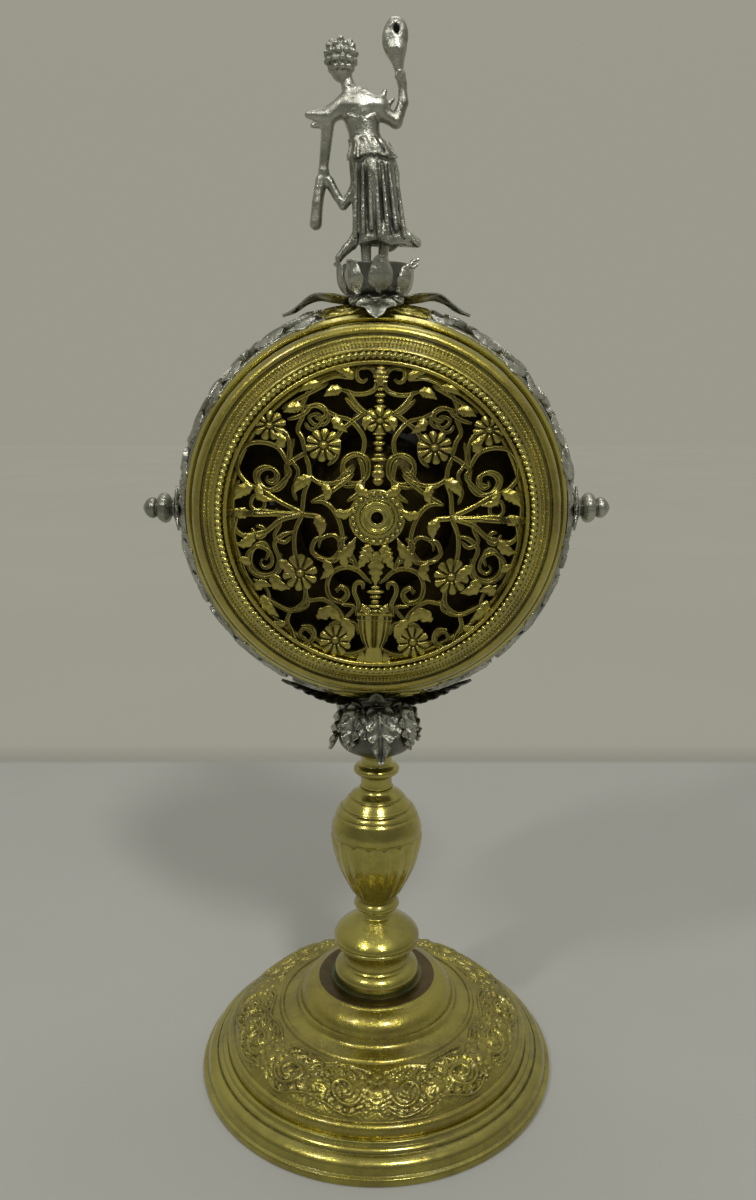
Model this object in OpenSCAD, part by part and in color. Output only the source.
// Table alarm clock: a drum on a turned stem and a round foot, with a cast figure on top.
// Millimetres, +Z up. The origin is the middle of the foot, on the table.
// The pierced sounding cover faces -Y and the dial faces +Y.

/* [Foot] */
// Radius of the foot's rim
foot_r = 54.7; // [52:0.1:62]
// Height of the stepped plinth moulding
plinth_h = 8.5; // [8:0.5:11]
// Outer radius of the embossed frieze
frieze_r = 46.9; // [44:0.1:47]
// Inner radius of the embossed frieze
frieze_in_r = 29.4; // [28:0.1:33]
// Rise of the embossed frieze
frieze_h = 10.5; // [8:0.5:13]
// Rise of the dome above the frieze
dome_h = 9; // [8:0.5:12]
// Radius of the plateau that carries the stem
plateau_r = 18.3; // [17:0.1:20]
// Thickness of the raised sheet
sheet_t = 1.3; // [1:0.1:1.8]
// Number of embossed fruits round the frieze
fruit_count = 14; // [8:1:18]

/* [Stem] */
// Thickness of the ring between plateau and stem
seat_h = 0.6; // [0.4:0.1:1.2]
// Radius of the ring between plateau and stem
seat_r = 14.2; // [13.5:0.1:16]
// Height of the stem's foot with its round knob
stem_foot_h = 21.8; // [19:0.2:26]
// Radius of the round knob
knob_r = 13.2; // [11:0.1:14]
// Height of the urn
urn_h = 40.6; // [34:0.2:48]
// Largest radius of the urn
urn_r = 13.7; // [11:0.1:16]
// Height of the neck above the urn
neck_h = 10.6; // [8:0.2:14]
// Radius of the neck
neck_r = 4.9; // [4.2:0.1:5.4]
// Radius of the neck's collar
collar_r = 6.9; // [6:0.1:9]
// Height of the capital's bowl
bowl_h = 14.4; // [12:0.2:16]
// Radius of the capital's bowl
bowl_r = 11.4; // [10:0.1:13]
// Height of the block between capital and saddle
block_h = 2; // [1.6:0.2:4]
// Radius of the block between capital and saddle
block_r = 6.8; // [6:0.1:8]
// Radius of the rod that ties the stem together
rod_r = 2; // [1.5:0.1:2.6]

/* [Drum] */
// Largest radius of the pierced band
band_r = 55.7; // [55:0.1:60]
// Radius of the band at its two edges
band_edge_r = 49.8; // [49.6:0.1:50.6]
// Width of the pierced band
band_w = 26; // [24:0.5:30]
// Wall of the pierced band
band_t = 1.2; // [1:0.1:1.6]
// Piercings round the band in each row
band_holes = 24; // [16:1:28]
// Inner radius of the rims that carry the covers
rim_r = 46; // [45.6:0.1:46.6]
// How far each rim reaches from the drum's middle
rim_z = 15; // [14.5:0.1:17]
// Thickness of a leaf saddle at its middle
saddle_t = 1.3; // [1.1:0.1:2.6]
// Length of the saddle's side leaves
leaf_l = 26; // [22:0.5:30]
// Length of a side finial from the band to its tip
finial_l = 10.4; // [8:0.2:13]
// Radius of the engraved plate under a side finial
cuff_r = 6.5; // [5.5:0.1:8]
// Thickness of the engraved plate under a side finial
cuff_t = 1.1; // [0.8:0.1:1.5]
// Gap under what is bent to the band
seat_gap = 0.05; // [0.03:0.01:0.08]

/* [Back cover] */
// Radius of the pierced plate that shows
grille_r = 38.6; // [36:0.1:39.2]
// Thickness of the pierced plate
grille_t = 1; // [0.8:0.1:1.2]
// Rise of the plate's dome from edge to middle
grille_rise = 4.2; // [3:0.1:5]
// Width of a scroll's bar
scroll_w = 1.2; // [0.9:0.1:1.6]
// Radius of the rosette
rosette_r = 7.3; // [6:0.1:8]
// Radius of the rosette's hole
rosette_hole_r = 1.4; // [1:0.1:2]
// How far the cover is drawn off
cover_travel = 30; // [20:1:40]

/* [Dial] */
// Outer radius of the chapter ring
chapter_r = 40.2; // [38:0.1:40.4]
// Inner radius of the chapter ring
chapter_in_r = 26; // [24:0.1:28]
// Distance of the dial's feet from the middle
dial_feet_at = 38; // [36:0.5:42]
// Radius of the alarm disc
alarm_disc_r = 24.5; // [20:0.1:25]
// Length of the hour hand
hand_l = 30; // [26:0.5:34]

/* [Movement] */
// Radius of the movement's plates
plate_r = 44; // [43.4:0.1:45]
// Thickness of the movement's plates
plate_t = 1.5; // [1.2:0.1:2]
// Space between the two plates
plate_gap = 15; // [15:0.1:16]
// Distance of the winding arbors from the middle
arbor_x = 28; // [27.5:0.1:28.5]
// Radius of a winding arbor
arbor_r = 1.1; // [0.9:0.1:1.3]
// Teeth of a great wheel
great_teeth = 40; // [40:4:40]
// Module of a great wheel and its pinion
great_m = 0.6; // [0.58:0.01:0.62]
// Teeth of the second wheel
second_teeth = 30; // [30:1:30]
// Module of the second wheel and its pinion
second_m = 0.5; // [0.48:0.01:0.52]
// Teeth of the contrate wheel
contrate_teeth = 20; // [20:1:20]
// Pitch radius of the contrate wheel
contrate_r = 5; // [4.9:0.05:5.2]
// Leaves of every pinion in the trains
leaves = 10; // [10:1:10]
// Teeth of the crown wheel
crown_teeth = 15; // [11:2:17]
// Radius of the crown wheel
crown_r = 4; // [3.6:0.1:4]
// Teeth of the motion pinion
motion_leaves = 16; // [16:1:16]
// Teeth of the hour wheel
hour_teeth = 48; // [48:1:48]
// Radius of the balance
balance_r = 7; // [6:0.1:7.4]
// Radius of the bell's mouth
bell_r = 21; // [19:0.1:21.5]
// Height of the bell
bell_h = 8; // [7:0.1:9]

/* [Figure] */
// Height of the figure from its feet to the top of its head
figure_h = 58; // [52:0.5:62]
// Height of the mirror that the figure holds up
mirror_h = 12.6; // [10:0.2:14]

/* [Fits] */
// Radial clearance of a running shaft
fit_run = 0.05; // [0.03:0.01:0.08]
// Radial clearance of a pushed-on or stacked piece
fit_push = 0.06; // [0.04:0.01:0.09]
// Gap between pieces that move past each other
gap_side = 0.3; // [0.25:0.05:0.4]

/* [Hidden] */
$fn = 72;

// Levels up the stem
frieze_z = plinth_h + frieze_h;
plateau_z = frieze_z + dome_h;
stem_z = plateau_z + seat_h;
urn_z = stem_z + stem_foot_h;
neck_z = urn_z + urn_h;
bowl_z = neck_z + neck_h;
block_z = bowl_z + bowl_h;
saddle_z = block_z + block_h;
drum_z = saddle_z + saddle_t + band_r;
drum_top = drum_z + band_r;
cup_z = drum_top + saddle_t;

// Levels and radii of the foot
dome_ledge = 1.5;
plinth_inner_r = frieze_r - 2.2;
dome_ring_r = 24.2;
ledge_z = plinth_h - dome_ledge;

// The tie rod, its washer and the nuts
rod_bore = rod_r + fit_push;
washer_r = 8;
washer_t = 1.2;
nut_w = 7;
nut_h = 2.8;
// The band curves away under a square nut's corners
nut_seat = 0.55;
plateau_under = plateau_z - sheet_t;
rod_low = plateau_under - washer_t - nut_h - 1;
rod_high = drum_z - band_r + band_t + nut_h + 1;

// The band is part of a ring whose section is an arc
band_rise = band_r - band_edge_r;
tube_r = (band_w * band_w / 4 + band_rise * band_rise) / (2 * band_rise);
tube_c = band_r - tube_r;
rim_out_r = band_edge_r - band_t;
rim_h = 4.5;
ledge_in_r = rim_r - 3;

// Levels between and outside the plates
half_gap = plate_gap / 2;
plate_out = half_gap + plate_t;
dial_z = rim_z - 1.5;
dial_t = 1;
chapter_t = 0.8;
dial_face = dial_z + dial_t;
disc_z = dial_face + 0.4;
disc_t = 0.8;
hand_z = disc_z + disc_t + 0.4;
hand_t = 0.9;
motion_z = plate_out + 1.8;
motion_t = 1;
stud_r = 1.5;
pipe_r = 3;
dial_hole_r = 4.2;

// Places of the arbors, seen from the back
going_at = [-arbor_x, 3];
alarm_at = [arbor_x, 3];
great_pitch = great_teeth * great_m / 2;
great_reach = (great_teeth + leaves) * great_m / 2;
second_pitch = second_teeth * second_m / 2;
second_reach = (second_teeth + leaves) * second_m / 2;
second_dir = -50;
contrate_dir = -30;
escape_dir = 130;
hammer_dir = 150;
hammer_reach = 10;
second_at = going_at + great_reach * [cos(second_dir), sin(second_dir)];
contrate_at = second_at + second_reach * [cos(contrate_dir), sin(contrate_dir)];
escape_at = alarm_at + great_reach * [cos(escape_dir), sin(escape_dir)];
hammer_at = escape_at + hammer_reach * [cos(hammer_dir), sin(hammer_dir)];
hour_reach = norm(going_at);
hour_m = 2 * hour_reach / (hour_teeth + motion_leaves);

// Levels of the wheels between the plates, toward the back
great_z = -5;
great_t = 1.2;
ratchet_z = -3.6;
ratchet_t = 0.8;
second_z = -2.6;
second_t = 1;
contrate_z = -1;
contrate_t = 1;
contrate_tooth = 1;
box_z = -0.8;
box_h = 7.6;
box_r = 11;
box_wall = 0.8;
pivot_r = 0.8;
crown_pinion_r = contrate_r * leaves / contrate_teeth;
crown_z = contrate_z + contrate_t + contrate_tooth / 2 + crown_pinion_r;
crown_gap = 1.4;
crown_y = contrate_at[1] + contrate_r + 8.5;
crown_h = 4;
pallet_l = 1.5;
staff_r = 0.5;
staff_y = crown_y + pallet_l + 0.2;
balance_z = plate_out + 1.2;
balance_t = 1;
cock_z = balance_z + balance_t + 1.2;
cock_t = 0.8;
bell_z = cock_z + cock_t + 1.3;
bell_t = 0.8;
bell_post_r = 1.6;

// The back cover
bezel_seat_r = grille_r + 2.7;
grille_edge_z = rim_z + 7.8;
grille_top = grille_edge_z + grille_rise;
dome_ball = (grille_r * grille_r + grille_rise * grille_rise) / (2 * grille_rise);
twist_r = grille_r + 2.3;
twist_t = 0.95;

// The figure
cup_h = 8.4;
cup_floor = 5;
feet_z = cup_z + cup_floor + 0.4;
screw_r = 1.2;

// Drum's own axes, looked at from behind: x right, y up, z toward the viewer
module from_back() translate([0, 0, drum_z]) rotate([90, 0, 0]) children();
// The same from the dial's side
module from_front() translate([0, 0, drum_z]) rotate([90, 0, 180]) children();

// Points of a cubic curve from a to d that leaves toward b and arrives from c
function curve(a, b, c, d, n = 8) = [for (i = [0:n]) let (t = i / n, s = 1 - t)
    s * s * s * a + 3 * s * s * t * b + 3 * s * t * t * c + t * t * t * d];

// Outline of a toothed wheel: four corners to a tooth, one tooth centred at angle phase
function wheel_points(teeth, m, phase = 0, fill = 0.40) = let (
    step = 360 / teeth, rt = teeth * m / 2 + 0.85 * m, rb = teeth * m / 2 - 1.15 * m,
    wb = step * fill * 0.62, wt = step * fill * 0.30)
    [for (i = [0:teeth - 1]) let (a = phase + i * step) each [
        rb * [cos(a - wb), sin(a - wb)], rt * [cos(a - wt), sin(a - wt)],
        rt * [cos(a + wt), sin(a + wt)], rb * [cos(a + wb), sin(a + wb)]]];

// Outline of a leaf of length l along +X with saw-toothed edges
function leaf_points(l, w, lobes) = let (side = [for (i = [1:2 * lobes - 1]) let (
    t = i / (2 * lobes), tooth = (i % 2 == 1) ? 1 : 0.7)
    [l * (t + (i % 2 == 1 ? 0.03 : -0.01)), w * tooth * sin(180 * pow(t, 0.8))]])
    concat([[0, w * 0.35]], side, [[l, 0]],
        [for (i = [len(side) - 1:-1:0]) [side[i][0], -side[i][1]]], [[0, -w * 0.35]]);

module ring(outer, inner, h) {
    difference() {
        cylinder(r = outer, h = h);
        translate([0, 0, -1]) cylinder(r = inner, h = h + 2);
    }
}

module turned(points) rotate_extrude() polygon(points);

module wheel(teeth, m, phase, h, fill = 0.40)
    linear_extrude(h) polygon(wheel_points(teeth, m, phase, fill));

// A turned stem piece with the rod's bore, from its outline of radii and heights
module stem_piece(z, outline, h)
    translate([0, 0, z]) turned(concat([[rod_bore, 0]], outline, [[rod_bore, h]]));

// Foot

module base_plinth() {
    // The moulding's steps fill the width that the frieze leaves, and step_in(7.8) is all of it
    function step_in(mm) = foot_r - mm * (foot_r - frieze_r) / 7.8;
    color("goldenrod") turned(concat(
        [[plinth_inner_r, 0.8], [step_in(7.4), 0.8], [step_in(6.6), 3.6], [step_in(2.6), 2.4],
            [step_in(2.2), 0], [foot_r, 0], [foot_r, 2], [step_in(0.7), 2.7],
            [step_in(1.5), 2.9]],
        curve([step_in(1.6), 3.1], [step_in(2), 5.4], [step_in(4), 6.1], [step_in(5.2), 6.4], 5),
        [[step_in(5.4), plinth_h - 1.2], [step_in(6.2), plinth_h - 1.2],
            [step_in(6.6), plinth_h], [frieze_r + fit_push, plinth_h],
            [frieze_r + fit_push, ledge_z], [plinth_inner_r, ledge_z]]));
}

// Outline of the dome from its lower edge inward and up to the plateau
function dome_outline() = concat(
    [[frieze_r, ledge_z], [frieze_r, plinth_h + 0.6]],
    curve([frieze_r - 0.2, plinth_h + 1], [frieze_r - 3, plinth_h + 7.2],
        [frieze_in_r + 7, frieze_z - 0.6], [frieze_in_r + 0.9, frieze_z - 0.3], 12),
    [[frieze_in_r + 0.8, frieze_z + 0.5], [frieze_in_r, frieze_z + 0.7]],
    curve([frieze_in_r - 0.3, frieze_z + 0.8], [dome_ring_r + 2, frieze_z + 0.9],
        [dome_ring_r + 0.9, frieze_z + 1.4], [dome_ring_r + 0.8, frieze_z + 2.4], 6),
    [[dome_ring_r, frieze_z + 2.6]],
    curve([dome_ring_r - 0.2, frieze_z + 2.8], [dome_ring_r - 0.6, plateau_z - 2.6],
        [plateau_r + 2.8, plateau_z - 0.9], [plateau_r + 0.6, plateau_z - 0.5], 8),
    [[plateau_r, plateau_z], [rod_bore, plateau_z]]);

module base_dome() {
    outline = dome_outline();
    last = len(outline) - 1;
    shift = sheet_t * [0.7, 1];
    inner = [for (i = [last - 1:-1:1]) outline[i] - shift];
    fruit_at = (frieze_r + frieze_in_r) / 2 + 1.5;
    // Each fruit has a scroll beside it, and every other one is a bunch with two berries more
    fruit_step = 360 / fruit_count;
    berry_turn = 4.1;
    scroll_r = 4.5;
    scroll_slope = 27;
    color("gold") {
        turned(concat(outline, [[rod_bore, plateau_z - sheet_t]], inner,
            [[frieze_r - sheet_t * 0.7, ledge_z]]));
        for (i = [0:fruit_count - 1]) rotate([0, 0, (i + 0.5) * fruit_step]) {
            translate([fruit_at, 0, frieze_z - 4.4]) sphere(r = 2.6);
            rotate([0, 0, fruit_step / 2]) translate([fruit_at + 0.3, 0, frieze_z - 2.9])
                rotate([0, scroll_slope, 0]) rotate_extrude() translate([scroll_r, 0]) circle(r = 1);
            if (i % 2 == 0) for (side = [-1, 1]) rotate([0, 0, side * berry_turn])
                translate([fruit_at - 1.1, 0, frieze_z - 3.3]) sphere(r = 2.1);
        }
    }
}

module seat_ring() color("darkolivegreen")
    translate([0, 0, plateau_z]) ring(seat_r, rod_bore, seat_h);

// Stem

module stem_foot() {
    h = stem_foot_h;
    flange_r = seat_r - 1.2;
    waist_r = knob_r - 3;
    color("gold") stem_piece(stem_z, concat([[flange_r - 0.6, 0], [flange_r - 0.6, 0.6]],
        curve([flange_r, 0.9], [flange_r + 0.5, 2.2], [flange_r - 0.2, 3.8],
            [waist_r + 0.5, h * 0.22], 6),
        curve([waist_r + 0.2, h * 0.27], [waist_r - 0.2, h * 0.36], [waist_r, h * 0.46],
            [waist_r + 2, h * 0.515], 5),
        [[knob_r - 0.3, h * 0.53], [knob_r - 0.1, h * 0.55], [knob_r - 0.2, h * 0.575],
            [knob_r - 0.4, h * 0.585], [knob_r - 0.05, h * 0.6]],
        curve([knob_r, h * 0.62], [knob_r - 0.2, h * 0.7], [knob_r - 3.2, h * 0.8],
            [5.2, h * 0.94], 8), [[4.9, h]]), h);
}

module stem_baluster() {
    h = urn_h;
    // Radius at a share of the way out from the neck to the urn's belly
    function out(share) = neck_r + (urn_r - neck_r) * share;
    color("gold") stem_piece(urn_z, concat(
        [[4.9, 0], [4.9, 0.5], [5.7, 1], [6.7, 1.4], [7, 2], [6.8, 2.8], [6, 3.4],
            [5.8, 3.8], [6.2, 4.3], [6.3, 5]],
        curve([6.5, 5.4], [9.2, h * 0.25], [urn_r - 1.8, h * 0.37], [urn_r - 0.9, h * 0.48],
            10),
        curve([urn_r - 0.8, h * 0.49], [urn_r - 0.2, h * 0.56], [urn_r, h * 0.62],
            [urn_r, h * 0.7], 4),
        curve([out(0.99), h * 0.72], [out(0.94), h * 0.78], [out(0.82), h * 0.84],
            [out(0.74), h * 0.865], 4),
        curve([out(0.7), h * 0.87], [out(0.56), h * 0.91], [out(0.44), h * 0.935],
            [out(0.37), h * 0.955], 4),
        [[out(0.33), h * 0.957], [out(0.1), h * 0.98], [out(0.02), h]]), h);
}

module stem_neck() {
    h = neck_h;
    color("gold") stem_piece(neck_z, [[neck_r, 0], [neck_r - 0.3, h * 0.25], [neck_r, h * 0.38],
        [collar_r - 0.6, h * 0.42], [collar_r, h * 0.48], [collar_r, h * 0.58],
        [collar_r - 0.6, h * 0.64], [neck_r, h * 0.68], [neck_r - 0.3, h * 0.8],
        [neck_r + 0.3, h]], h);
}

module tie_rod() color("dimgray")
    translate([0, 0, rod_low]) cylinder(r = rod_r, h = rod_high - rod_low);

module rod_washer() color("goldenrod")
    translate([0, 0, plateau_under - washer_t]) ring(washer_r, rod_bore, washer_t);

module square_nut(z, bore_r) translate([0, 0, z]) difference() {
    translate([-nut_w / 2, -nut_w / 2, 0]) cube([nut_w, nut_w, nut_h]);
    translate([0, 0, -1]) cylinder(r = bore_r, h = nut_h + 2);
}

module square_nuts() color("dimgray") {
    square_nut(plateau_under - washer_t - nut_h, rod_r + fit_push);
    square_nut(drum_z - band_r + band_t + nut_seat, rod_r + fit_push);
    square_nut(drum_top - band_t - nut_seat - nut_h, screw_r + fit_push);
}

module capital_bowl() {
    h = bowl_h;
    color("silver") stem_piece(bowl_z, concat(
        [[neck_r + 0.6, 0], [neck_r + 1.2, 0.8]],
        curve([neck_r + 1.6, 1], [bowl_r - 1, 1.6], [bowl_r, h * 0.26], [bowl_r, h * 0.4], 6),
        curve([bowl_r - 0.1, h * 0.5], [bowl_r - 0.3, h * 0.7], [bowl_r - 0.6, h * 0.85],
            [bowl_r - 1.2, h * 0.96], 4), [[bowl_r - 2, h]]), h);
}

// Eight leaves that spring from the bowl's top, arch outward and droop
module capital_leaves() {
    top_z = bowl_z + bowl_h;
    out_r = bowl_r + 0.3;
    t = 0.8;
    spine = curve([block_r + 1.4, top_z + 0.9], [out_r + 1.3, top_z + 1.6],
        [out_r + 1.7, top_z - 5], [out_r + 0.6, top_z - bowl_h * 0.7], 8);
    color("silver") {
        translate([0, 0, top_z]) ring(block_r + 2, block_r + fit_push, 1);
        for (i = [0:7]) rotate([0, 0, i * 45 - 104]) rotate_extrude(angle = 28)
            polygon(concat(spine, [for (j = [len(spine) - 1:-1:0]) spine[j] - [t, t * 0.6]]));
    }
}

module neck_block() {
    h = block_h;
    color("dimgray") stem_piece(block_z, [[block_r, 0], [block_r, h * 0.2],
        [block_r - 0.8, h * 0.35], [block_r - 0.8, h * 0.7], [block_r, h * 0.85],
        [block_r, h]], h);
}

// Drum

// Points across the band's outer face, thickened outward by grow, as radii and places
function band_face(grow, wide) = [for (i = [0:14]) let (y = (i / 14 - 0.5) * wide)
    [tube_c + sqrt(pow(tube_r + grow, 2) - y * y), y]];

// Section of the band's ring, thickened outward by grow. As a cutter it reaches further in and
// to the sides. A band so flat that its arc is centred beyond the axis is drawn by points.
module band_section(grow, cutter) {
    low = max(tube_c, band_edge_r / 2) + 2 - 2 * cutter;
    wide = band_w + 2 * cutter;
    if (tube_c > 0) intersection() {
        translate([tube_c, 0]) circle(r = tube_r + grow);
        translate([low, -wide / 2]) square([band_r + grow - low + 1, wide]);
    }
    else polygon(concat([[low, -wide / 2]], band_face(grow, wide), [[low, wide / 2]]));
}

module band_ring(grow, cutter = 0) from_back() rotate_extrude() band_section(grow, cutter);

// A saddle that lies on the band: four leaves round a flat seat, pointing up
module saddle_up(bore) {
    gap = seat_gap;
    leaf_t = 1;
    side_w = 6.4;
    face_l = 13.4;
    face_w = 6;
    seat_r_top = 7;
    difference() {
        union() {
            intersection() {
                band_ring(gap + leaf_t);
                translate([0, 0, drum_z]) linear_extrude(band_r + 5) {
                    for (a = [0, 180]) rotate(a) polygon(leaf_points(leaf_l, side_w, 5));
                    for (a = [90, 270]) rotate(a) polygon(leaf_points(face_l, face_w, 3));
                }
            }
            translate([0, 0, drum_top - 2]) cylinder(r = seat_r_top, h = saddle_t + 2);
        }
        band_ring(gap, 1);
        translate([0, 0, drum_top - 5]) cylinder(r = bore, h = 10);
    }
}

module bottom_saddle() color("silver")
    translate([0, 0, 2 * drum_z]) mirror([0, 0, 1]) saddle_up(rod_bore);

module top_saddle() color("silver") saddle_up(screw_r + fit_push);

module case_band() {
    rows = [-7, 0, 7];
    sizes = [2.1, 2.4, 2.1];
    step = 360 / band_holes;
    color("silver") difference() {
        band_ring(0);
        band_ring(-band_t, 1);
        from_back() translate([0, 0, -band_w]) cylinder(r = rim_out_r, h = 2 * band_w);
        from_back() for (k = [0:2], i = [0:band_holes - 1])
            let (a = (i + (k == 1 ? 0 : 0.5)) * step)
                if (abs(sin(a)) < 0.96 && abs(cos(a)) < 0.985)
                    rotate([0, 0, a]) translate([rim_out_r - 2, 0, rows[k]])
                        rotate([0, 90, 0]) cylinder(r = sizes[k], h = 12);
        for (side = [0, 180]) translate([0, 0, drum_z]) rotate([0, 90, side])
            cylinder(r = screw_r + fit_push, h = band_r + 2);
        translate([0, 0, drum_top - 5]) cylinder(r = screw_r + fit_push, h = 8);
        translate([0, 0, drum_z - band_r - 3]) cylinder(r = rod_bore, h = 8);
    }
}

module rim_back() color("gold") from_back()
    translate([0, 0, rim_z - rim_h]) ring(rim_out_r, rim_r, rim_h);

module rim_front() color("gold") from_front() {
    translate([0, 0, rim_z - rim_h]) ring(rim_out_r, rim_r, rim_h);
    translate([0, 0, rim_z - rim_h]) ring(rim_r + 0.5, ledge_in_r, dial_z - rim_z + rim_h);
}

// Engraved plates under the side finials, curved to the band
module side_cuffs() color("silver") for (side = [0, 1]) mirror([side, 0, 0])
    difference() {
        intersection() {
            band_ring(seat_gap + cuff_t);
            translate([0, 0, drum_z]) rotate([0, 90, 0]) cylinder(r = cuff_r, h = band_r + 5);
        }
        band_ring(seat_gap, 1);
        translate([0, 0, drum_z]) rotate([0, 90, 0])
            cylinder(r = screw_r + fit_push, h = band_r + 5);
    }

module finial() {
    h = finial_l;
    bulge = 4.25;
    bud = 2.95;
    shank = band_t + 4;
    seat = seat_gap + cuff_t;
    translate([band_r, 0, drum_z]) rotate([0, 90, 0]) turned(concat(
        [[0, -shank], [screw_r, -shank], [screw_r, seat], [3.2, seat], [3, seat + 0.5],
            [2.25, seat + 0.9], [2.25, h * 0.22]],
        curve([2.7, h * 0.25], [bulge + 0.4, h * 0.3], [bulge + 0.4, h * 0.5],
            [2.6, h * 0.6], 7), [[2.3, h * 0.62]],
        curve([2.5, h * 0.64], [bud + 0.5, h * 0.72], [bud + 0.1, h * 0.9], [0, h], 6)));
}

module finial_left() color("silver") mirror([1, 0, 0]) finial();

module finial_right() color("silver") finial();

// Top piece

module calyx_cup() color("silver") translate([0, 0, cup_z]) {
    h = cup_h;
    t = 0.8;
    lip_r = 9.3;
    petal = curve([lip_r - 0.5, h * 0.3], [lip_r + 0.8, h * 0.5], [lip_r + 0.1, h * 0.9],
        [lip_r + 1.4, h * 1.12], 6);
    turned(concat([[screw_r + fit_push, 0], [5.2, 0], [4.9, 0.4]],
        curve([5.2, 0.6], [lip_r - 1, 1.2], [lip_r, h * 0.4], [lip_r, h], 6),
        [[lip_r - t, h]], curve([lip_r - t, h * 0.92], [lip_r - t, h * 0.8],
            [lip_r - 1.8, cup_floor + 0.6], [lip_r - 4, cup_floor], 5),
        [[screw_r + fit_push, cup_floor]]));
    for (i = [0:5]) rotate([0, 0, i * 60 - 13 + 30]) rotate_extrude(angle = 26)
        polygon(concat(petal, [for (j = [len(petal) - 1:-1:0]) petal[j] - [t, 0]]));
}

module figure_screw() color("dimgray")
    translate([0, 0, drum_top - band_t - nut_h - 1.2])
        cylinder(r = screw_r, h = cup_z + cup_floor - drum_top + band_t + nut_h + 2.4);

module ball(p, r) translate(p) sphere(r = r, $fn = 14);

// A limb that tapers from one ball to the next
module limb(a, ra, b, rb) hull() {
    ball(a, ra);
    ball(b, rb);
}

// Height of the figure as its points are written
body_h = 58;

module figure() {
    color("silver") translate([0, 0, feet_z]) difference() {
        scale(figure_h / body_h) figure_body();
        translate([0, 0, -2]) cylinder(r = screw_r + 0.12, h = 6);
    }
}

// The body stands on z = 0, at body_h from its feet to the top of its head
module figure_body() {
    // Underskirt and feet stand in the cup
    hull() {
        translate([-0.6, 0, -0.4]) cylinder(r = 3.4, h = 1, $fn = 16);
        translate([-0.6, 0, 8]) cylinder(r = 4.6, h = 1, $fn = 16);
    }
    // Skirt with its hem swept to the side
    hull() {
        ball([-6.6, -1, 10.2], 2.8);
        ball([6.2, 0, 9.6], 2.6);
        ball([0, 3.4, 10], 2.6);
        ball([-1.2, 0, 25], 5.6);
    }
    limb([6, 0, 9.6], 2.2, [10.6, -0.4, 8.6], 1.2);
    // Peplum, waist and bodice
    hull() {
        ball([-1.2, 0, 25.6], 6.2);
        ball([-3.6, 0, 32.4], 4);
    }
    hull() {
        ball([-3.6, 0, 33], 3.9);
        ball([-6.6, 0, 42.6], 3.4);
        ball([-1, 0, 42.4], 3.4);
    }
    limb([-5.6, 0, 44.4], 2.2, [-8, 0.6, 50], 1.9);
    ball([-8.8, 0.8, 52.3], 4.3);
    ball([-8.2, -1, 55.7], 2.4);
    // Lowered arm with its puffed sleeve
    ball([-11.4, -0.4, 39.8], 3.7);
    limb([-13, -0.4, 39.8], 2.2, [-17.6, -0.4, 40.2], 1.3);
    limb([-13, -0.4, 37], 2.2, [-13.8, 1, 24.6], 1.7);
    // Hanging drape
    limb([-13.8, 1, 24], 1.9, [-15.8, 0.6, 12.4], 1.9);
    limb([-13.6, 1, 24.6], 1.6, [-7, 0.6, 18.6], 1.9);
    // Raised arm
    ball([2.8, -0.4, 39.4], 3.2);
    limb([3, -0.4, 39.4], 2.2, [5.6, -0.2, 38.8], 2);
    limb([5.8, -0.2, 39], 1.9, [7, 0, 44], 1.6);
    limb([7, 0, 44], 1.6, [6.2, 0, mirror_foot - 1.6], 1.6);
}

// Level of the mirror's foot in the figure's hand
mirror_foot = 51.2;

module held_mirror() {
    h = mirror_h;
    // The hand that holds it is at the raised arm's end
    hand = [6.1, 0, mirror_foot + 0.05] * figure_h / body_h;
    color("silver") translate([0, 0, feet_z] + hand) turned(concat([[0, 0], [1.1, 0]],
        curve([1.3, 0.6], [h * 0.24, h * 0.25], [h * 0.34, h * 0.5],
            [h * 0.22, h * 0.78], 7), [[h * 0.1, h * 0.94], [0, h]]));
}

// Back cover, which pushes into the rim

module back_bezel() {
    skirt_r = rim_r - 0.08;
    z = rim_z;
    e = grille_edge_z;
    s = bezel_seat_r;
    g = grille_r;
    o = rim_out_r + 0.4;
    color("gold") from_back() turned([[skirt_r, z - 3.5], [skirt_r, z], [o, z],
        [o + 0.4, z + 0.6], [o + 0.1, z + 1.4], [o - 2.2, z + 3], [o - 2.7, z + 2.9],
        [o - 3, z + 3.6], [o - 4.3, z + 4.2], [o - 4.7, z + 5], [o - 5.7, z + 5.7],
        [o - 6, z + 6.2], [s + 1.1, z + 8], [s + 0.7, z + 8.4], [g + 1.2, z + 8.4],
        [g + 1.2, z + 9.6], [g + 0.6, z + 9.9], [g, z + 9.6], [g, e + 0.06], [s, e + 0.06],
        [s, e - grille_t - 1.2], [skirt_r - 1.3, z + 3], [skirt_r - 1.3, z - 3.5]]);
}

module back_twist() color("gold") from_back()
    rotate_extrude() translate([twist_r, rim_z + 8.4 + twist_t]) circle(r = twist_t, $fn = 24);

// Left half's flowers, scrolls and stems; the right half is their mirror image
flower_r = 4.3;
flowers = [[-14.5, 16.9], [-27.4, 21.5], [-19, -16.3], [-9.1, -33.2]];
scrolls = [[-28.5, 8.2, 5.4], [-29.2, -10.7, 5.4], [-17, -31.2, 4.8], [-9.3, -19.5, 5],
    [-6.2, 33.6, 4.4], [-18.6, 30.6, 5.6], [-20.2, 5.4, 5.6], [-12, 8.2, 4.6],
    [-20.6, -5.4, 5.6], [-11.2, -9, 5.2], [-26.6, -22.4, 5.8], [-7.4, 26.2, 4.6],
    [-34.2, 15.2, 3.8], [-21.6, 14.4, 4.2], [-34.4, -2.4, 3.8], [-5.6, 16.8, 5],
    [-15, -25, 4]];

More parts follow.
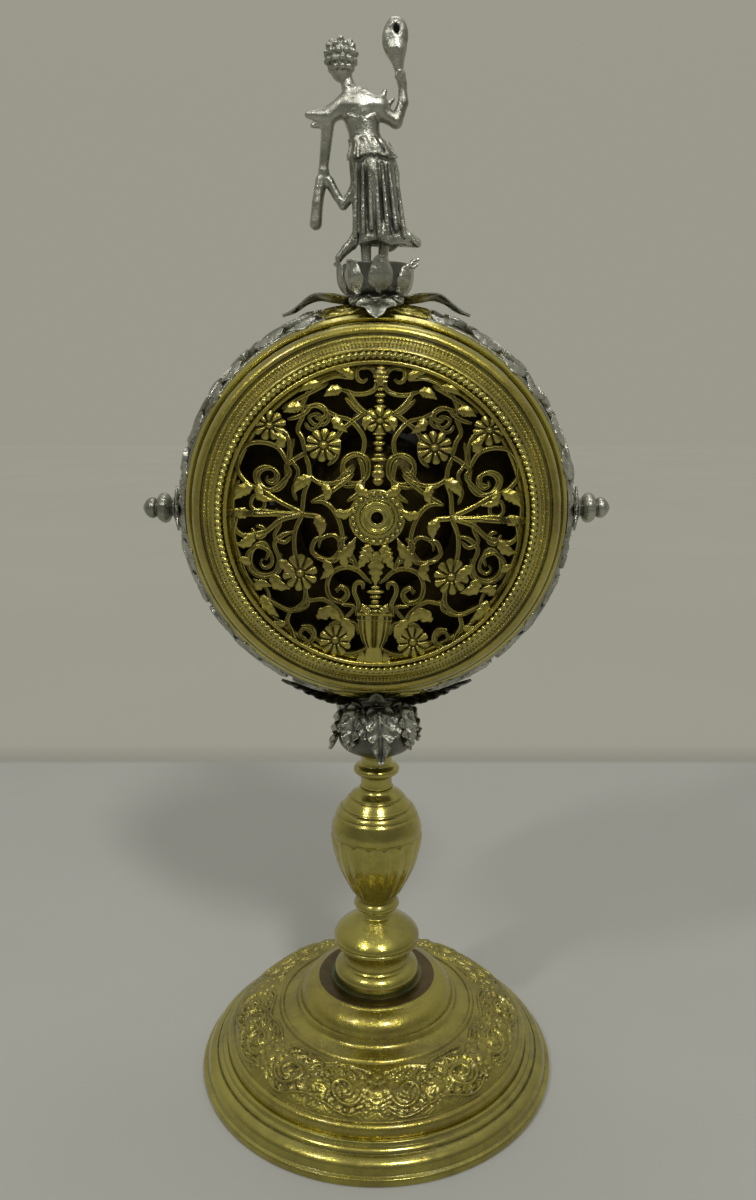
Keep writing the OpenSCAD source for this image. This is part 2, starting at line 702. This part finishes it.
module half_scrolls() {
    for (p = flowers) translate(p) circle(r = flower_r);
    for (s = scrolls) translate([s[0], s[1]]) difference() {
        circle(r = s[2]);
        circle(r = s[2] - scroll_w);
    }
    translate([-grille_r - 1, -scroll_w / 2]) square([grille_r - rosette_r + 2, scroll_w]);
}

module back_grille() {
    vase = [[-3.2, -39.4], [-3.2, -36.9], [-1.4, -35.5], [-1.4, -34], [-3.6, -31.6],
        [-4.3, -26.6], [4.3, -26.6], [3.6, -31.6], [1.4, -34], [1.4, -35.5], [3.2, -36.9],
        [3.2, -39.4]];
    color("goldenrod") from_back() intersection() {
        linear_extrude(grille_top + 1) difference() {
            union() {
                difference() {
                    circle(r = bezel_seat_r - fit_push);
                    circle(r = grille_r - 1.2);
                }
                circle(r = rosette_r + 0.6);
                half_scrolls();
                mirror([1, 0]) half_scrolls();
                polygon(vase);
                translate([-scroll_w, -30]) square([2 * scroll_w, 25]);
                translate([-scroll_w, 5]) square([2 * scroll_w, grille_r - 5]);
                translate([0, 23]) circle(r = flower_r);
            }
            circle(r = rosette_hole_r);
        }
        difference() {
            translate([0, 0, grille_top - dome_ball]) sphere(r = dome_ball, $fn = 144);
            translate([0, 0, grille_top - dome_ball - grille_t])
                sphere(r = dome_ball, $fn = 144);
        }
    }
}

// Height of the plate's dome at a distance r from its middle
function dome_at(r) = grille_top - dome_ball + sqrt(dome_ball * dome_ball - r * r);

module back_rosette() {
    bead_r = rosette_r - 1;
    z = grille_top;
    color("gold") from_back() {
        turned([[rosette_hole_r, z + 0.02], [rosette_r, dome_at(rosette_r) + 0.05],
            [rosette_r, z + 0.4], [bead_r + 0.4, z + 0.6], [bead_r - 0.6, z + 0.5],
            [bead_r - 1.8, z + 0.5], [bead_r - 2.2, z + 1.3], [bead_r - 2.9, z + 1.3],
            [bead_r - 3.3, z + 0.6], [rosette_hole_r, z + 0.9]]);
        for (i = [0:19]) rotate([0, 0, i * 18]) translate([bead_r, 0, z + 0.8])
            sphere(r = 0.75, $fn = 16);
    }
}

// Dial side

module front_bezel() {
    z = rim_z;
    o = rim_out_r + 0.4;
    i = chapter_r + 0.4;
    lip = dial_face;
    color("gold") from_front() turned([[i, lip], [rim_r - 0.4, lip], [rim_r - 0.4, z], [o, z],
        [o + 0.4, z + 0.6], [o + 0.1, z + 1.2], [o - 2.2, z + 2.4], [o - 2.7, z + 2.3],
        [o - 3, z + 3], [o - 4.6, z + 3.6], [o - 5.2, z + 4.4], [i + 2, z + 5.4],
        [i + 0.8, z + 5.4], [i, z + 4.4]]);
}

module dial_plate() color("gold") from_front() translate([0, 0, dial_z])
    ring(rim_r - 0.3, dial_hole_r, dial_t);

module dial_feet() color("goldenrod") from_front() for (i = [0:3]) rotate([0, 0, i * 90])
    translate([dial_feet_at, 0, plate_out]) cylinder(r = 1.5, h = dial_z - plate_out);

module chapter_ring() color("silver") from_front() translate([0, 0, dial_face])
    ring(chapter_r, chapter_in_r, chapter_t);

module touch_pins() color("goldenrod") from_front() for (i = [0:11]) rotate([0, 0, i * 30])
    translate([0, chapter_r - 2.2, dial_face + chapter_t]) {
        cylinder(r = 0.7, h = 1);
        translate([0, 0, 1]) sphere(r = 0.7, $fn = 24);
        if (i == 0) translate([0, 0, 1.2]) sphere(r = 1.1, $fn = 24);
    }

module alarm_disc() {
    sleeve_r = dial_hole_r - fit_run;
    color("silver") from_front() difference() {
        union() {
            translate([0, 0, disc_z]) cylinder(r = alarm_disc_r, h = disc_t);
            translate([0, 0, dial_z - 0.6]) cylinder(r = sleeve_r, h = disc_z - dial_z + 0.8);
            translate([0, alarm_disc_r - 4, disc_z + disc_t - 0.1])
                cylinder(r = 0.7, h = 0.4);
        }
        translate([0, 0, dial_z - 2]) cylinder(r = pipe_r + fit_run, h = 8);
    }
}

module hour_hand() {
    w = 2.2;
    color("steelblue") from_front() translate([0, 0, hand_z]) difference() {
        union() {
            cylinder(r = pipe_r + 1.4, h = hand_t);
            linear_extrude(hand_t) polygon([[-w, 0], [-w * 0.5, 9], [-w * 1.2, 13],
                [-w * 0.4, 17], [-w * 0.4, hand_l - 6], [-w * 0.9, hand_l - 5], [0, hand_l],
                [w * 0.9, hand_l - 5], [w * 0.4, hand_l - 6], [w * 0.4, 17], [w * 1.2, 13],
                [w * 0.5, 9], [w, 0], [w * 0.4, -9], [0, -11], [-w * 0.4, -9]]);
        }
        translate([0, 0, -1]) cylinder(r = pipe_r, h = hand_t + 2);
    }
}

module hour_wheel() {
    line = atan2(going_at[1], -going_at[0]);
    color("dimgray") from_front() difference() {
        union() {
            translate([0, 0, motion_z]) wheel(hour_teeth, hour_m, line + 180 / hour_teeth,
                motion_t);
            translate([0, 0, motion_z]) cylinder(r = pipe_r, h = hand_z + hand_t - motion_z);
        }
        translate([0, 0, motion_z - 1]) cylinder(r = stud_r + fit_run, h = 20);
        for (i = [0:3]) rotate([0, 0, 45 + i * 90]) translate([12, 0, motion_z - 1])
            cylinder(r = 5.2, h = motion_t + 2);
    }
}

// Movement frame

pillar_at = 39.5;

module plate_holes(extra) {
    for (i = [0:3]) rotate([0, 0, 45 + i * 90]) translate([pillar_at, 0, -20])
        cylinder(r = 1.2 + fit_push, h = 40);
    for (p = [second_at, contrate_at, escape_at]) translate([p[0], p[1], -20])
        cylinder(r = pivot_r + fit_run, h = 40);
    translate([contrate_at[0], staff_y, -20]) cylinder(r = staff_r + fit_run, h = 40);
    for (p = extra) translate([p[0], p[1], -20]) cylinder(r = p[2], h = 40);
}

module back_plate() color("gold") from_back() difference() {
    translate([0, 0, half_gap]) cylinder(r = plate_r, h = plate_t);
    plate_holes([[going_at[0], going_at[1], arbor_r + fit_run],
        [alarm_at[0], alarm_at[1], arbor_r + fit_run],
        [hammer_at[0], hammer_at[1], pivot_r + fit_run]]);
}

wheel_pipe_r = 2.2;

module front_plate() color("gold") from_back() {
    difference() {
        translate([0, 0, -plate_out]) cylinder(r = plate_r, h = plate_t);
        plate_holes([[going_at[0], going_at[1], wheel_pipe_r + fit_run],
            [alarm_at[0], alarm_at[1], wheel_pipe_r + fit_run],
            [hammer_at[0], hammer_at[1], pivot_r + fit_run]]);
    }
    translate([0, 0, -hand_z - hand_t - 0.5])
        cylinder(r = stud_r, h = hand_z + hand_t + 0.5 - plate_out + 0.5);
}

module pillars() color("goldenrod") from_back() for (i = [0:3])
    rotate([0, 0, 45 + i * 90]) translate([pillar_at, 0, 0]) {
        h = half_gap;
        turned([[0, -plate_out - 0.8], [1.2, -plate_out - 0.8], [1.2, -h], [2.6, -h],
            [2.6, -h + 1], [1.6, -h + 2], [2.6, -0.8], [2.6, 0.8], [1.6, h - 2], [2.6, h - 1],
            [2.6, h], [1.2, h], [1.2, plate_out + 0.8], [0, plate_out + 0.8]]);
    }

// Spring box: an open drum riveted to the back plate round the winding arbor
module spring_box(p) from_back() translate([p[0], p[1], box_z]) difference() {
    cylinder(r = box_r, h = half_gap - box_z);
    translate([0, 0, box_wall]) cylinder(r = box_r - box_wall, h = box_h);
    translate([0, 0, -1]) cylinder(r = arbor_r + 0.9, h = 3);
}

module going_spring_box() color("goldenrod") spring_box(going_at);

module alarm_spring_box() color("goldenrod") spring_box(alarm_at);

// Mainspring: a flat strip wound as a spiral from the arbor to the box wall
module mainspring(p) {
    turns = 5;
    strip = 0.35;
    in_r = arbor_r + 0.35;
    out_r = box_r - box_wall - 0.35;
    n = turns * 20;
    function at(i, w) = let (r = in_r + (out_r - in_r) * i / n + w, a = i * 18)
        r * [cos(a), sin(a)];
    from_back() translate([p[0], p[1], box_z + box_wall + 0.5])
        linear_extrude(half_gap - box_z - box_wall - 1)
            polygon(concat([for (i = [0:n]) at(i, 0)],
                [for (i = [n:-1:0]) at(i, strip)]));
}

module going_mainspring() color("steelblue") mainspring(going_at);

module alarm_mainspring() color("steelblue") mainspring(alarm_at);

// Winding arbor: ratchet wheel below the spring, square for the key behind the plate
ratchet_teeth = 16;
ratchet_r = 5;

module winding_arbor(p) from_back() translate([p[0], p[1], 0]) {
    low = -plate_out - 2.2;
    key_w = arbor_r * 1.3;
    translate([0, 0, low]) cylinder(r = arbor_r, h = plate_out - low + 0.2);
    translate([-key_w / 2, -key_w / 2, plate_out]) cube([key_w, key_w, 5]);
    translate([0, 0, ratchet_z]) linear_extrude(ratchet_t) polygon([
        for (i = [0:ratchet_teeth - 1]) let (a = i * 360 / ratchet_teeth, r = ratchet_r)
            each [r * [cos(a), sin(a)], (r - 1) * [cos(a + 2), sin(a + 2)]]]);
}

module going_arbor() color("dimgray") winding_arbor(going_at);

module alarm_arbor() color("dimgray") winding_arbor(alarm_at);

click_at = [0, 7.6];

module click_piece(p) from_back() translate([p[0] + click_at[0], p[1] + click_at[1], 0]) {
    difference() {
        translate([0, 0, ratchet_z]) linear_extrude(ratchet_t)
            polygon([[-0.9, 1], [1, 1], [1.2, -0.8], [3.6, -2.4], [3.2, -3.25], [-0.6, -1.3]]);
        translate([0, 0, ratchet_z - 1]) cylinder(r = 0.45 + fit_run, h = 3);
    }
}

module going_click() color("dimgray") click_piece(going_at);

module alarm_click() color("dimgray") click_piece(alarm_at);

// A great wheel with four crossings, its click's stud and a pipe through the front plate
module spring_wheel(p, phase, pipe_low) from_back() translate([p[0], p[1], 0])
    difference() {
        union() {
            translate([0, 0, great_z]) wheel(great_teeth, great_m, phase, great_t);
            translate([0, 0, pipe_low]) cylinder(r = wheel_pipe_r, h = great_z - pipe_low + 0.5);
            translate([click_at[0], click_at[1], great_z])
                cylinder(r = 0.45, h = ratchet_z + ratchet_t - great_z);
        }
        translate([0, 0, pipe_low - 1]) cylinder(r = arbor_r + fit_run, h = 20);
        for (i = [0:3]) rotate([0, 0, 45 + i * 90]) translate([7, 0, great_z - 1])
            cylinder(r = 2.3, h = great_t + 2);
    }

module great_wheel() {
    line = atan2(going_at[1], -going_at[0]);
    color("goldenrod") {
        spring_wheel(going_at, second_dir, -motion_z - motion_t);
        from_front() translate([-going_at[0], going_at[1], motion_z]) difference() {
            wheel(motion_leaves, hour_m, line + 180, motion_t);
            translate([0, 0, -1]) cylinder(r = wheel_pipe_r - 0.2, h = motion_t + 2);
        }
    }
}

module alarm_wheel() color("goldenrod") spring_wheel(alarm_at, escape_dir, -plate_out - 0.5);

// An arbor with a pinion, between the plates
module pinion_arbor(p, m, phase, z, h) from_back() translate([p[0], p[1], 0]) {
    translate([0, 0, -plate_out]) cylinder(r = pivot_r, h = 2 * plate_out);
    translate([0, 0, z]) wheel(leaves, m, phase, h, 0.36);
}

module second_wheel() color("goldenrod") {
    pinion_arbor(second_at, great_m, second_dir + 180 + 180 / leaves, great_z - 0.5, 2.2);
    from_back() translate([second_at[0], second_at[1], second_z])
        wheel(second_teeth, second_m, contrate_dir, second_t);
}

module contrate_wheel() color("goldenrod") {
    step = 360 / contrate_teeth;
    rim_w = 0.7;
    pinion_arbor(contrate_at, second_m, contrate_dir + 180 + 180 / leaves, second_z - 0.3,
        contrate_z - second_z + 0.4);
    from_back() translate([contrate_at[0], contrate_at[1], contrate_z]) {
        cylinder(r = contrate_r + rim_w, h = contrate_t);
        for (i = [0:contrate_teeth - 1]) rotate([0, 0, 90 + i * step])
            translate([contrate_r - rim_w, -0.22, contrate_t - 0.1])
                cube([2 * rim_w, 0.44, contrate_tooth + 0.1]);
    }
}

// Crown wheel: its arbor lies along the drum's y axis
module crown_wheel() {
    low = contrate_at[1] + 1.3;
    step = 360 / crown_teeth;
    tooth_h = 1.3;
    wall = 0.7;
    rim_low = crown_y - crown_h;
    color("goldenrod") from_back() translate([contrate_at[0], 0, crown_z]) rotate([-90, 0, 0]) {
        translate([0, 0, low]) cylinder(r = 0.6, h = rim_low - low + 0.5);
        translate([0, 0, contrate_at[1] + contrate_r - 0.8])
            wheel(leaves, 2 * crown_pinion_r / leaves, 90 + 180 / leaves, 1.6, 0.30);
        translate([0, 0, rim_low]) cylinder(r = crown_r, h = 0.8);
        translate([0, 0, rim_low]) ring(crown_r, crown_r - wall, crown_h - tooth_h);
        for (i = [0:crown_teeth - 1]) rotate([0, 0, (i + 0.5) * step])
            translate([crown_r - wall, -0.25, crown_y - tooth_h - 0.1])
                cube([wall - 0.1, 0.5, tooth_h + 0.1]);
    }
}

module potence() {
    x = contrate_at[0];
    low = contrate_at[1] + 1.3;
    high = crown_y - crown_h - 1.2;
    bar_t = 0.7;
    color("goldenrod") from_back() difference() {
        union() {
            translate([x - 2, low, half_gap - bar_t]) cube([4, high - low, bar_t]);
            for (y = [low, high - 1.2]) translate([x - 1.4, y, crown_z - 1.4])
                cube([2.8, 1.2, half_gap - crown_z + 1.4]);
        }
        translate([x, low - 1, crown_z]) rotate([-90, 0, 0])
            cylinder(r = 0.6 + fit_run, h = high - low + 2);
    }
}

module balance() {
    x = contrate_at[0];
    y = staff_y;
    pallet_w = 0.9;
    color("dimgray") from_back() translate([x, y, 0]) {
        translate([0, 0, -plate_out]) cylinder(r = staff_r, h = plate_out + cock_z + cock_t);
        for (p = [[crown_z - crown_r + 0.1, -50], [crown_z + crown_r - 1, 50]])
            translate([0, 0, p[0]]) rotate([0, 0, p[1] - 90])
                translate([0, -0.2, 0]) cube([pallet_l - 0.1, 0.4, pallet_w]);
        translate([0, 0, balance_z]) {
            ring(balance_r, balance_r - 1, balance_t);
            for (a = [0, 90]) rotate([0, 0, a])
                translate([-balance_r + 0.5, -0.5, 0]) cube([2 * balance_r - 1, 1, balance_t]);
        }
    }
}

module balance_cock() {
    x = contrate_at[0];
    y = staff_y;
    foot_y = y + balance_r + 1.2;
    color("gold") from_back() difference() {
        union() {
            translate([x - 2, foot_y, plate_out]) cube([4, 3, cock_z - plate_out + cock_t]);
            translate([x - 2, y, cock_z]) cube([4, foot_y - y + 1, cock_t]);
            translate([x, y, cock_z]) cylinder(r = 2.6, h = cock_t);
        }
        translate([x, y, cock_z - 1]) cylinder(r = staff_r + fit_run, h = cock_t + 2);
    }
}

module alarm_escape() {
    teeth = 15;
    r = 6;
    color("goldenrod") {
        pinion_arbor(escape_at, great_m, escape_dir + 180 + 180 / leaves, great_z - 0.5, 2.2);
        from_back() translate([escape_at[0], escape_at[1], second_z])
            linear_extrude(second_t) polygon([for (i = [0:teeth - 1])
                let (a = i * 360 / teeth) each [r * [cos(a), sin(a)],
                    (r - 1.6) * [cos(a + 4), sin(a + 4)],
                    (r - 1.6) * [cos(a + 16), sin(a + 16)]]]);
    }
}

// Hammer: pallets by the escape wheel, and a head that strikes the bell from outside
hammer_head = 1.8;
hammer_angle = 100;
hammer_rest = bell_r + 2.7 + hammer_head;

module alarm_hammer() {
    head = hammer_rest * [cos(hammer_angle), sin(hammer_angle)];
    arm_z = plate_out + 1.4;
    arm_t = 1.2;
    reach = norm(head - hammer_at);
    turn = atan2(head[1] - hammer_at[1], head[0] - hammer_at[0]);
    tail = hammer_reach - 6 - 0.7;
    color("dimgray") from_back() translate([hammer_at[0], hammer_at[1], 0]) {
        translate([0, 0, -plate_out]) cylinder(r = pivot_r, h = plate_out + arm_z + arm_t + 0.3);
        translate([0, 0, arm_z - 0.2]) cylinder(r = 2, h = arm_t + 0.4);
        rotate([0, 0, turn]) translate([1, -0.7, arm_z]) cube([reach - 1, 1.4, arm_t]);
        translate([head[0] - hammer_at[0], head[1] - hammer_at[1], arm_z - 0.2])
            cylinder(r = hammer_head, h = bell_z - arm_z + 3.2);
        for (a = [-40, 40]) rotate([0, 0, hammer_dir + 180 + a])
            translate([0, -0.4, second_z]) cube([tail, 0.8, second_t]);
    }
}

// Let-off lever between the front plate and the dial, and its reach toward the disc's sleeve
detent_at = [-24, 22];
detent_l = 24.4;

module alarm_detent() {
    z = plate_out + 0.3;
    t = 0.9;
    color("dimgray") from_front() translate([detent_at[0], detent_at[1], 0]) {
        translate([0, 0, plate_out]) cylinder(r = 0.8, h = z - plate_out + t + 0.2);
        translate([0, 0, z]) cylinder(r = 2.2, h = t);
        translate([0, 0, z]) rotate([0, 0, atan2(detent_at[1], detent_at[0]) + 180])
            linear_extrude(t) polygon([[-1, -1.4], [detent_l, -0.8], [detent_l, 0.8],
                [-1, 1.4]]);
    }
}

module bell() color("gold") from_back() translate([0, 0, bell_z]) {
    r = bell_r;
    h = bell_h;
    t = bell_t;
    outer = curve([r - 0.4, 1], [r - 1.6, h * 0.7], [r * 0.7, h], [6, h], 10);
    inner = curve([6, h - t], [r * 0.68, h - t], [r - 2.6, h * 0.6], [r - 1.3, 1], 10);
    turned(concat([[r - 0.9, 0], [r, 0]], outer, [[bell_post_r + fit_push, h],
        [bell_post_r + fit_push, h - t]], inner));
}

module bell_stand() color("dimgray") from_back() turned([[0, plate_out], [2.4, plate_out],
    [2.4, plate_out + 1], [2.1, plate_out + 1.4], [2.1, bell_z + bell_h - bell_t],
    [bell_post_r, bell_z + bell_h - bell_t], [bell_post_r, bell_z + bell_h],
    [3.2, bell_z + bell_h], [3.2, bell_z + bell_h + 1.4], [1.6, bell_z + bell_h + 2],
    [0, bell_z + bell_h + 2.2]]);

base_plinth();
base_dome();
seat_ring();
stem_foot();
stem_baluster();
stem_neck();
tie_rod();
rod_washer();
square_nuts();
capital_bowl();
capital_leaves();
neck_block();
bottom_saddle();
case_band();
rim_back();
rim_front();
side_cuffs();
finial_left();
finial_right();
top_saddle();
calyx_cup();
figure_screw();
figure();
held_mirror();
back_bezel();
back_twist();
back_grille();
back_rosette();
front_bezel();
dial_plate();
dial_feet();
chapter_ring();
touch_pins();
alarm_disc();
hour_hand();
hour_wheel();
back_plate();
front_plate();
pillars();
going_spring_box();
alarm_spring_box();
going_mainspring();
alarm_mainspring();
going_arbor();
alarm_arbor();
going_click();
alarm_click();
great_wheel();
alarm_wheel();
second_wheel();
contrate_wheel();
crown_wheel();
potence();
balance();
balance_cock();
alarm_escape();
alarm_hammer();
alarm_detent();
bell();
bell_stand();
